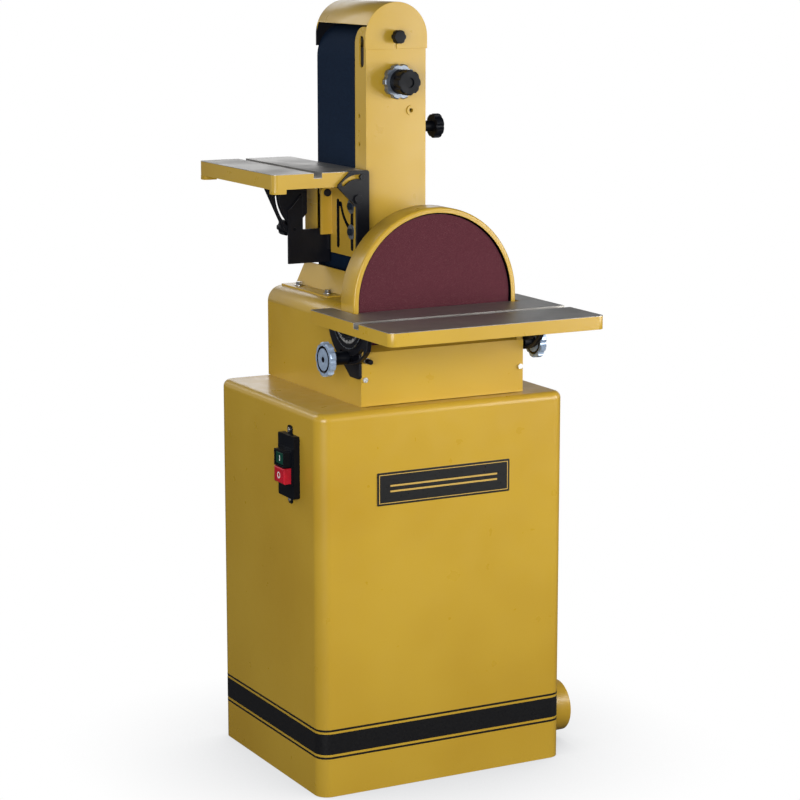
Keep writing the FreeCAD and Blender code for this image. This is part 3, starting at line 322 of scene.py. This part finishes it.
def polished_wheel(name, axes, centre, shade_rings, tones, metal):
    """Polished lobed wheel between two tones, with black rings of painted shade."""
    s = Shader(name)
    lines = s.noise(90.0, 5.0, 0.7)
    tone = s.blend(s.span(lines, *STREAK_FADE), *tones)
    r = s.distance(axes, centre)
    black = 0.0
    for inner, outer in shade_rings:
        # black rings laid on the wheel face as painted shade
        black = s.math("MAXIMUM", black, s.inside(r, inner, outer))
    s.set(Base_Color=s.blend(black, tone, PAINTED_SHADE_BLACK), Metallic=s.span(black, 0.0, 1.0, metal, 0.0))
    s.set(Roughness=s.span(lines, *WIDE_FADE, 0.16, 0.28), Normal=s.bump(lines, 0.10, STREAK_DEPTH))
    return s.material


def ground_iron(s):
    """Colour, roughness and bump of a ground cast-iron table top."""
    streaks = s.noise(14.0, 4.0, 0.7, GRINDING_STRETCH)
    patina = s.noise(9.0, 4.0)
    tone = s.blend(s.span(patina, 0.35, 0.68), IRON, IRON_DARK)
    tone = s.blend(s.span(streaks, 0.40, 0.66, 0.0, 0.45), tone, IRON_STREAK)
    shine = s.math("ADD", s.span(streaks, *WIDE_FADE, 0.36, 0.50), s.span(patina, 0.4, 0.7, 0.0, 0.10))
    grain = s.bump(streaks, 0.16, 0.15 * MM)
    return tone, shine, grain


def machine_table(name, node, slot_axis, slot_centre, slot_half, slot_depth):
    """Enamelled casting with a ground top face and a ground mitre slot."""
    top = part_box(node)[1].z
    s = Shader(name)
    paint, paint_shine, peel = enamel_layers(s)
    iron, iron_shine, grain = ground_iron(s)
    up = s.part_of(s.place.outputs["Normal"], Z)
    height = s.coordinate(Z)
    across = s.coordinate(slot_axis)
    upper = s.math("GREATER_THAN", height, top - slot_depth - SLOT_MARGIN)
    facing = s.math("MULTIPLY", s.math("GREATER_THAN", up, FACES_UP), upper)
    slot = s.math("MULTIPLY", s.inside(across, slot_centre - slot_half, slot_centre + slot_half), upper)
    bare_lip = s.math("GREATER_THAN", height, top - GROUND_LIP)
    bare = s.math("MAXIMUM", s.math("MAXIMUM", facing, slot), bare_lip)
    painted = s.math("SUBTRACT", 1.0, bare)
    shine = s.math("ADD", s.math("MULTIPLY", bare, iron_shine), s.math("MULTIPLY", painted, paint_shine))
    s.set(Base_Color=s.blend(bare, paint, iron), Metallic=s.math("MULTIPLY", bare, 0.9))
    s.set(Roughness=shine, Normal=s.blend(bare, peel, grain, "VECTOR"))
    s.set(Coat_Weight=s.math("MULTIPLY", painted, ENAMEL_COAT), Coat_Roughness=COAT_ROUGHNESS)
    return s.material


def bare_metal(name, tint, roughness, stretch=(1, 1, 1), scratch=180.0, dark=0.6):
    """Turned, plated or polished metal: streaks between the tint and a darker one, fine scratches."""
    s = Shader(name)
    lines = s.noise(scratch, 5.0, 0.7, stretch)
    tone = s.blend(s.span(lines, *STREAK_FADE), darker(tint, dark), tint)
    shine = s.span(lines, *WIDE_FADE, roughness * 0.75, roughness * 1.35)
    s.set(Base_Color=tone, Metallic=1.0, Roughness=shine, Normal=s.bump(lines, 0.12, STREAK_DEPTH))
    return s.material


def cast_metal(name, tint, metallic=0.0, roughness=0.55, gloss=0.5):
    """As-cast surface under paint or primer: fine pits, a mottled tone and edges lightened towards grey."""
    s = Shader(name)
    grain = s.noise(340.0, 5.0, 0.7)
    mottle = s.noise(18.0, 3.0)
    tone = s.blend(s.span(mottle, *SOFT_FADE), tint, darker(tint, 0.6))
    # edges lightened towards grey in patches
    lighter_edge = s.math("MULTIPLY", s.edges(CAST_EDGE), s.span(mottle, 0.4, 0.6))
    tone = s.blend(s.math("MULTIPLY", lighter_edge, 0.35), tone, EDGE_GREY)
    s.set(Base_Color=tone, Metallic=metallic, Specular_IOR_Level=gloss)
    s.set(Normal=s.bump(grain, 0.35, 0.4 * MM))
    s.set(Roughness=s.span(grain, *WIDE_FADE, roughness - 0.10, roughness + 0.10))
    return s.material


def moulded_plastic(name, tint, roughness, gloss=0.3):
    """Fine-grained plastic with a slightly uneven tone."""
    s = Shader(name)
    grain = s.noise(700.0, 3.0, 0.6)
    smear = s.noise(40.0, 3.0)
    s.set(Base_Color=s.blend(s.span(smear, *SOFT_FADE), tint, darker(tint, 0.72)))
    s.set(Roughness=s.span(smear, *WIDE_FADE, roughness - 0.07, roughness + 0.10))
    s.set(Normal=s.bump(grain, 0.12, 0.2 * MM), Specular_IOR_Level=gloss)
    return s.material


def coated_abrasive(name, grit, bond, sparkle, gloss):
    """Abrasive grit in a resin bond: packed grains, sparkling points, clogged patches."""
    s = Shader(name)
    grains = s.cells(GRIT)
    clog = s.noise(11.0, 4.0)
    tone = s.blend(s.span(grains, 0.10, 0.55), grit, bond)
    tone = s.blend(s.span(clog, 0.50, 0.75, 0.0, 0.35), tone, bond)
    glint = s.span(s.noise(GRIT * 1.3, 1.0), 0.66, 0.72)
    tone = s.blend(s.math("MULTIPLY", glint, 0.5), tone, sparkle)
    s.set(Base_Color=tone, Roughness=s.span(grains, 0.0, 0.6, 0.70, 0.95), Specular_IOR_Level=gloss)
    s.set(Normal=s.bump(grains, 0.55, 0.35 * MM))
    return s.material


def belt_rubber():
    s = Shader("ribbed_rubber")
    weave = s.noise(500.0, 3.0, 0.6)
    s.set(Base_Color=s.blend(s.span(weave, 0.4, 0.6), *RUBBER))
    s.set(Roughness=0.75, Normal=s.bump(weave, 0.4, 0.3 * MM))
    return s.material


def printed_ink(name, tint, roughness):
    """Screen-printed or vinyl mark with slightly uneven cover."""
    s = Shader(name)
    cover = s.noise(260.0, 3.0)
    s.set(Base_Color=s.blend(s.span(cover, *SOFT_FADE), tint, darker(tint, 0.86)))
    s.set(Roughness=s.span(cover, *WIDE_FADE, roughness - 0.08, roughness + 0.08))
    s.set(Normal=s.bump(cover, 0.05, 0.1 * MM))
    return s.material


def washer_and_head(name, head_from):
    """Bright washers under blackened bolt heads, which lie beyond head_from along -X."""
    s = Shader(name)
    lines = s.noise(METAL_STREAKS, 5.0, 0.7)
    tone = s.blend(s.span(lines, *STREAK_FADE), *BLUED_ZINC)
    head = s.math("LESS_THAN", s.coordinate(X), head_from)
    s.set(Base_Color=s.blend(head, tone, BLACKENED_HEAD), Metallic=s.span(head, 0, 1, 1.0, 0.2))
    s.set(Roughness=s.span(lines, *WIDE_FADE, 0.26, 0.42), Normal=s.bump(lines, 0.12, STREAK_DEPTH))
    return s.material


def make_finishes():
    """Material of every record slot, by slot name."""
    return {
        "yellow_paint": yellow_enamel(),
        "bright_steel": bare_metal("zinc_steel", ZINC, 0.30, scratch=METAL_STREAKS),
        "cast_grey": cast_metal("grey_casting", CASTING_GREY, metallic=0.1),
        "drum_aluminium": bare_metal("turned_aluminium", ALUMINIUM, 0.30, (1, 30, 1), scratch=60.0),
        "polished_wheel": polished_wheel("lock_wheel_finish", (Y, Z), LOCK_AXIS, LOCK_WHEEL_SHADE_RINGS,
                                         LOCK_WHEEL_TONES, metal=0.4),
        "black_iron": cast_metal("black_enamel", BLACK_ENAMEL, roughness=0.42, gloss=0.28),
        "black_plastic": moulded_plastic("black_phenolic", BLACK_PHENOLIC, 0.44, gloss=0.16),
        "green_plastic": moulded_plastic("green_button", BUTTON_GREEN, 0.30),
        "red_plastic": moulded_plastic("red_button", BUTTON_RED, 0.30),
        "name_black": printed_ink("name_plate_black", PLATE_BLACK, 0.35),
        "maroon_abrasive": coated_abrasive("maroon_abrasive", *MAROON, gloss=0.25),
        "belt_abrasive": coated_abrasive("blue_black_abrasive", *BLUE_BLACK, gloss=0.12),
        "belt_rubber": belt_rubber(),
        "motor_enamel": cast_metal("motor_enamel", MOTOR_GREY, metallic=0.1, roughness=0.42),
        "scale_white": printed_ink("scale_ground", SCALE_GROUND, 0.4),
    }


def special_finishes():
    """Finishes of the nodes that differ from their slot, by node name."""
    guard_shade = arch_shade(SPINDLE, GUARD_INSIDE_R, GUARD_FRONT_Y)
    return {
        "disc_table": machine_table("disc_table_finish", "disc_table", Y, *DISC_SLOT),
        "belt_table": machine_table("belt_table_finish", "belt_table", X, *BELT_SLOT),
        # black on the inner faces of these four parts is painted shade
        "disc_guard": yellow_enamel("disc_guard_finish", guard_shade),
        "top_guard": yellow_enamel("top_guard_finish", cap_shade),
        "slotted_bracket": yellow_enamel("slotted_bracket_finish", span_shade(X, *BRACKET_SLOTS_X)),
        "arm_frame": yellow_enamel("arm_frame_finish", span_shade(X, *ARM_PAD_X)),
        "tension_handwheel": polished_wheel("tension_wheel_finish", (X, Z), TENSION_AXIS,
                                            TENSION_WHEEL_SHADE_RINGS, TENSION_WHEEL_REFLECTION_TONES, metal=0.5),
        "arm_bolts": washer_and_head("bracket_bolt_finish", BOLT_HEADS_X),
        "panel_screws": bare_metal("bright_screws", BRIGHT_ZINC, 0.34, scratch=METAL_STREAKS, dark=0.8),
    }


def paint_cad(finishes, special):
    """Gives every CAD node its own finish, or the one of its slot."""
    for entry in frame["record"]["subparts"]:
        node = NODES[entry["node"]]
        node.data.materials.clear()
        node.data.materials.append(special.get(entry["node"]) or finishes[entry["material_slot"]])


# ---- mesh building -----------------------------------------------------------
FULL_TURN = 2 * math.pi


def piece(name, bm, material, body):
    """A new mesh object from a bmesh, painted and riding on a body."""
    bmesh.ops.recalc_face_normals(bm, faces=bm.faces)
    mesh = bpy.data.meshes.new(name)
    bm.to_mesh(mesh)
    bm.free()
    mesh.materials.append(material)
    made = bpy.data.objects.new(name, mesh)
    bpy.context.scene.collection.objects.link(made)
    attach(made, body)


def block(bm, low, high):
    """Closed box between two corners; gives its vertices."""
    centre = (Vector(low) + Vector(high)) / 2
    size = Vector(high) - Vector(low)
    matrix = Matrix.Translation(centre) @ Matrix.Diagonal((*size, 1.0))
    return bmesh.ops.create_cube(bm, size=1.0, matrix=matrix)["verts"]


def rounded_outline(half_x, half_y, radius, steps):
    """Points of a rounded rectangle, anticlockwise, centred on the origin."""
    points = []
    for turn, (sx, sy) in enumerate(((1, 1), (-1, 1), (-1, -1), (1, -1))):
        for i in range(steps + 1):
            angle = math.pi / 2 * (turn + i / steps)
            points.append((sx * (half_x - radius) + radius * math.cos(angle),
                           sy * (half_y - radius) + radius * math.sin(angle)))
    return points


def ring_wall(bm, inner, outer, z0, z1):
    """Closed band between two outlines with the same number of points."""
    count = len(inner)
    rows = [[bm.verts.new((x, y, z)) for x, y in outline]
            for outline, z in ((inner, z0), (outer, z0), (outer, z1), (inner, z1))]
    for i in range(count):
        j = (i + 1) % count
        for a, b in ((0, 1), (1, 2), (2, 3), (3, 0)):
            bm.faces.new((rows[a][i], rows[a][j], rows[b][j], rows[b][i]))


def flat_ring(bm, centre, outer, inner, x0, x1, start, end, steps):
    """Ring or arc of a ring that faces along X, between two radii and two x values."""
    closed = abs(end - start) > FULL_TURN - 1e-6
    count = steps if closed else steps + 1
    rows = []
    for i in range(count):
        angle = start + (end - start) * i / steps
        c, s = math.cos(angle), math.sin(angle)
        rows.append([bm.verts.new((x, centre[0] + r * c, centre[1] + r * s))
                     for x, r in ((x0, inner), (x0, outer), (x1, outer), (x1, inner))])
    for i in range(count if closed else count - 1):
        a, b = rows[i], rows[(i + 1) % count]
        for k in range(4):
            bm.faces.new((a[k], a[(k + 1) % 4], b[(k + 1) % 4], b[k]))
    if not closed:
        bm.faces.new(rows[0])
        bm.faces.new(rows[-1])


# ---- decals and marks --------------------------------------------------------
STRIPE_INK = colour(0.006, 0.006, 0.007)
STRIPES = (                             # name, lower and upper edge in mm above the floor
    ("stripe_wide", 79.0, 117.0),
    ("stripe_line_upper", 121.2, 125.0),
    ("stripe_line_lower", 70.8, 74.6),
)
DECAL = 0.25 * MM
DECAL_SUNK = 0.05 * MM
TAPE_SUNK = 0.02 * MM
CORNER_R = 24.0 * MM
CORNER_STEPS = 10

BORDER_INK = colour(0.62, 0.40, 0.09)
BORDER_INSET = 3.6 * MM
BORDER_WIDTH = 1.3 * MM
BAR_INSET = 26 * MM
BAR_OFFSET = 5 * MM
BAR_HALF = 1.6 * MM

BUTTON_INK = colour(0.80, 0.80, 0.78)
MARK_PROUD = 0.3 * MM
MARK_SUNK = 0.1 * MM
START_MARK_HALF = (1.2 * MM, 5 * MM)
STOP_MARK_R = (3.9 * MM, 6.0 * MM)

SCALE_INK = colour(0.82, 0.82, 0.80)
TICKS_DEG = range(-165, -10, 5)
LONG_TICK_EVERY = 15
LONG_TICK = (43.5 * MM, 0.7 * MM)       # inner radius and half width
SHORT_TICK = (45.5 * MM, 0.45 * MM)
TICK_OUTER_R = 49.0 * MM
SCALE_RIM_STEEL = colour(0.62, 0.68, 0.74)
SCALE_RIM_R = (57.4 * MM, 59.3 * MM)
SCALE_RIM_PROUD = (0.2 * MM, 0.3 * MM)
SCALE_RIM_DEG = (-170, -8)


def add_stripes():
    """Black tape bands round the foot of the cabinet."""
    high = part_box("cabinet_shell")[1]
    ink = printed_ink("stripe_black", STRIPE_INK, 0.34)
    inner = rounded_outline(high.x - TAPE_SUNK, high.y - TAPE_SUNK, CORNER_R, CORNER_STEPS)
    outer = rounded_outline(high.x + DECAL, high.y + DECAL, CORNER_R + DECAL, CORNER_STEPS)
    for name, z0, z1 in STRIPES:
        bm = bmesh.new()
        ring_wall(bm, inner, outer, z0 * MM, z1 * MM)
        piece(name, bm, ink, "base")


def add_border(bm, low, high):
    """Thin raised rectangle on a plate that faces -Y."""
    x0, x1 = low.x + BORDER_INSET, high.x - BORDER_INSET
    z0, z1 = low.z + BORDER_INSET, high.z - BORDER_INSET
    y0, y1 = low.y - DECAL, low.y + DECAL_SUNK
    block(bm, (x0, y0, z0), (x1, y1, z0 + BORDER_WIDTH))
    block(bm, (x0, y0, z1 - BORDER_WIDTH), (x1, y1, z1))
    block(bm, (x0, y0, z0 + BORDER_WIDTH), (x0 + BORDER_WIDTH, y1, z1 - BORDER_WIDTH))
    block(bm, (x1 - BORDER_WIDTH, y0, z0 + BORDER_WIDTH), (x1, y1, z1 - BORDER_WIDTH))


def add_name_plate():
    """Blank plate: a printed yellow border and two plain bars."""
    low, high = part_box("name_plate")
    ink = printed_ink("name_plate_yellow", BORDER_INK, 0.4)
    bm = bmesh.new()
    add_border(bm, low, high)
    middle = (low.z + high.z) / 2
    for z in (middle - BAR_OFFSET, middle + BAR_OFFSET):
        block(bm, (low.x + BAR_INSET, low.y - DECAL, z - BAR_HALF),
              (high.x - BAR_INSET, low.y + DECAL_SUNK, z + BAR_HALF))
    piece("name_plate_print", bm, ink, "base")


def button_face(node):
    """Front face of a button that faces -X: its x, y and z at the middle."""
    low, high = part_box(node)
    return low.x, (low.y + high.y) / 2, (low.z + high.z) / 2


def add_button_marks():
    """Plain I and O on the start and stop buttons."""
    ink = printed_ink("button_white", BUTTON_INK, 0.4)
    x, y, z = button_face("start_button")
    half_y, half_z = START_MARK_HALF
    bm = bmesh.new()
    block(bm, (x - MARK_PROUD, y - half_y, z - half_z), (x + MARK_SUNK, y + half_y, z + half_z))
    piece("start_mark", bm, ink, "start_button")
    x, y, z = button_face("stop_button")
    inner, outer = STOP_MARK_R
    bm = bmesh.new()
    flat_ring(bm, (y, z), outer, inner, x - MARK_PROUD, x + MARK_SUNK, 0.0, FULL_TURN, 32)
    piece("stop_mark", bm, ink, "stop_button")


def add_angle_scale():
    """White degree ticks and the bright rim of the left table trunnion."""
    pivot = Vector(JOINTS["disc_table_tilt"]["pos_m"])
    low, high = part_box("angle_scale")
    white = printed_ink("scale_white_ink", SCALE_INK, 0.4)
    bm = bmesh.new()
    for degrees in TICKS_DEG:
        r, half = LONG_TICK if degrees % LONG_TICK_EVERY == 0 else SHORT_TICK
        verts = block(bm, (low.x - DECAL, r, -half), (low.x + MARK_SUNK, TICK_OUTER_R, half))
        turn = Matrix.Rotation(math.radians(degrees), 4, "X")
        bmesh.ops.transform(bm, matrix=Matrix.Translation((0, pivot.y, pivot.z)) @ turn, verts=verts)
    piece("angle_scale_ticks", bm, white, "disc_table")
    steel = bare_metal("scale_rim_steel", SCALE_RIM_STEEL, 0.28)
    inner, outer = SCALE_RIM_R
    start, end = (math.radians(degrees) for degrees in SCALE_RIM_DEG)
    bm = bmesh.new()
    flat_ring(bm, (pivot.y, pivot.z), outer, inner, low.x - SCALE_RIM_PROUD[0],
              high.x + SCALE_RIM_PROUD[1], start, end, 40)
    piece("angle_scale_rim", bm, steel, "disc_table")


# ---- edges of CAD parts ------------------------------------------------------
SOFT_EDGES = {                          # radius in mm, and the nodes that get it
    0.5: "arm_frame top_guard return_cover disc_guard base_housing pulley_cover dust_deflector "
         "slotted_bracket",
    0.8: "disc_table belt_table front_trunnion_plate rear_support_plate table_gusset "
         "disc_table_trunnions trunnion_brackets bearing_housing switch_box",
    0.4: "front_panel rear_access_panel dust_port name_plate index_pin index_collar panel_screws "
         "base_bolts arm_bolts table_tilt_pins",
}
WELD_REACH = 0.002 * MM
FLAT_LIMIT = math.radians(0.5)
EDGE_LIMIT = math.radians(40)


def soften_edges():
    """Small real radii on the edges of the parts that show."""
    for width, names in SOFT_EDGES.items():
        for name in names.split():
            node = NODES[name]
            weld = node.modifiers.new("weld", "WELD")
            weld.merge_threshold = WELD_REACH
            flat = node.modifiers.new("flat", "DECIMATE")
            flat.decimate_type = "DISSOLVE"
            flat.angle_limit = FLAT_LIMIT
            bevel = node.modifiers.new("edge_radius", "BEVEL")
            bevel.width = width * MM
            bevel.segments = 2
            bevel.limit_method = "ANGLE"
            bevel.angle_limit = EDGE_LIMIT
            bevel.use_clamp_overlap = True
            bevel.harden_normals = False


# ---- stage -------------------------------------------------------------------
VIEW_AZIMUTH = math.radians(-28.1)
VIEW_ELEVATION = math.radians(10.9)
VIEW_TARGET = Vector((0.0232, 0.0, 0.6517))
VIEW_DISTANCE = 4.5595
LENS = 110.5
SENSOR_WIDTH = 36.0
LENS_SHIFT = (-0.0012, 0.0082)
HORIZON = colour(0.45, 0.46, 0.48)
CEILING = colour(0.045, 0.055, 0.07)
HORIZON_TOP = 0.22
CEILING_FROM = 0.55
FLOOR_BOUNCE = colour(0.06, 0.06, 0.063)
FLOOR_SHADOW = colour(0.42, 0.43, 0.45)
FLOOR_HALF = 12.0
FLOOR_DROP = 0.3 * MM
SHADOW_REACH = 0.35
LIT_POINT = Vector((0, 0, 0.95))
WHITE = (1, 1, 1)
LIGHTS = (                              # name, azimuth, elevation, distance, size, power, tint
    ("key", 46, 4, 2.0, (1.3, 1.0), 30, (1.0, 0.99, 0.96)),
    ("front_fill", -38, 5, 2.6, (1.6, 1.3), 50, WHITE),
    ("edge_highlight", 160, 14, 3.0, (1.2, 1.6), 8, WHITE),
    ("back_fill", 215, 32, 3.0, (1.6, 1.6), 26, WHITE),
)


def direction(azimuth, elevation):
    """Unit vector from the object towards a viewer."""
    flat = math.cos(elevation)
    return Vector((math.sin(azimuth) * flat, -math.cos(azimuth) * flat, math.sin(elevation)))


def aim(obj, place, target):
    """Puts a camera or a light at a place and turns it to a target."""
    obj.location = place
    obj.rotation_euler = (Vector(target) - Vector(place)).to_track_quat("-Z", "Y").to_euler()


def add_camera():
    data = bpy.data.cameras.new("camera")
    data.lens = LENS
    data.sensor_width = SENSOR_WIDTH
    data.shift_x, data.shift_y = LENS_SHIFT
    camera = bpy.data.objects.new("camera", data)
    bpy.context.scene.collection.objects.link(camera)
    view = direction(VIEW_AZIMUTH, VIEW_ELEVATION)
    aim(camera, VIEW_TARGET + VIEW_DISTANCE * view, VIEW_TARGET)
    bpy.context.scene.camera = camera


def add_area_light(name, azimuth, elevation, distance, size, power, tint):
    """Soft box that the camera doesn't see, aimed at the lit point; angles in degrees."""
    data = bpy.data.lights.new(name, "AREA")
    data.shape = "RECTANGLE"
    data.size, data.size_y = size
    data.energy = power
    data.color = tint
    light = bpy.data.objects.new(name, data)
    light.visible_camera = False
    bpy.context.scene.collection.objects.link(light)
    towards = direction(math.radians(azimuth), math.radians(elevation))
    aim(light, LIT_POINT + distance * towards, LIT_POINT)


def camera_only(tree, plain, seen):
    """Shader that is seen to the camera and plain to every other ray."""
    mix = tree.nodes.new("ShaderNodeMixShader")
    path = tree.nodes.new("ShaderNodeLightPath")
    tree.links.new(path.outputs["Is Camera Ray"], mix.inputs[0])
    tree.links.new(plain, mix.inputs[1])
    tree.links.new(seen, mix.inputs[2])
    return mix.outputs[0]


def add_world():
    """White backdrop for the camera; for other rays a bright horizon under a dark ceiling."""
    world = bpy.data.worlds.new("studio")
    bpy.context.scene.world = world
    world.use_nodes = True
    tree = world.node_tree
    tree.nodes.clear()
    out = tree.nodes.new("ShaderNodeOutputWorld")
    sky = tree.nodes.new("ShaderNodeBackground")
    backdrop = tree.nodes.new("ShaderNodeBackground")
    backdrop.inputs[0].default_value = colour(*WHITE)
    place = tree.nodes.new("ShaderNodeTexCoord")
    split = tree.nodes.new("ShaderNodeSeparateXYZ")
    ramp = tree.nodes.new("ShaderNodeValToRGB")
    ramp.color_ramp.elements[0].color = HORIZON
    ramp.color_ramp.elements[0].position = HORIZON_TOP
    ramp.color_ramp.elements[1].color = CEILING
    ramp.color_ramp.elements[1].position = CEILING_FROM
    tree.links.new(place.outputs["Generated"], split.inputs[0])
    tree.links.new(split.outputs[2], ramp.inputs[0])
    tree.links.new(ramp.outputs[0], sky.inputs[0])
    tree.links.new(camera_only(tree, sky.outputs[0], backdrop.outputs[0]), out.inputs[0])


def add_floor():
    """White floor with contact shadows for the camera, a dark one for every other ray."""
    bm = bmesh.new()
    bmesh.ops.create_grid(bm, x_segments=1, y_segments=1, size=FLOOR_HALF)
    mesh = bpy.data.meshes.new("floor")
    bm.to_mesh(mesh)
    bm.free()
    floor = bpy.data.objects.new("floor", mesh)
    floor.location.z = -FLOOR_DROP
    bpy.context.scene.collection.objects.link(floor)
    s = Shader("pale_floor")
    s.set(Base_Color=FLOOR_BOUNCE, Roughness=0.9)
    shade = s.add("ShaderNodeAmbientOcclusion", Distance=SHADOW_REACH)
    shade.samples = 8
    open_share = s.math("POWER", shade.outputs["AO"], 0.8)
    glow = s.add("ShaderNodeEmission", Color=s.blend(open_share, FLOOR_SHADOW, colour(*WHITE)))
    s.tree.links.new(camera_only(s.tree, s.surface.outputs[0], glow.outputs[0]), s.out.inputs[0])
    mesh.materials.append(s.material)


def add_stage():
    add_world()
    add_floor()
    for light in LIGHTS:
        add_area_light(*light)
    bpy.context.scene.view_settings.view_transform = "Standard"
    add_camera()


paint_cad(make_finishes(), special_finishes())
soften_edges()
add_stripes()
add_name_plate()
add_button_marks()
add_angle_scale()
add_stage()
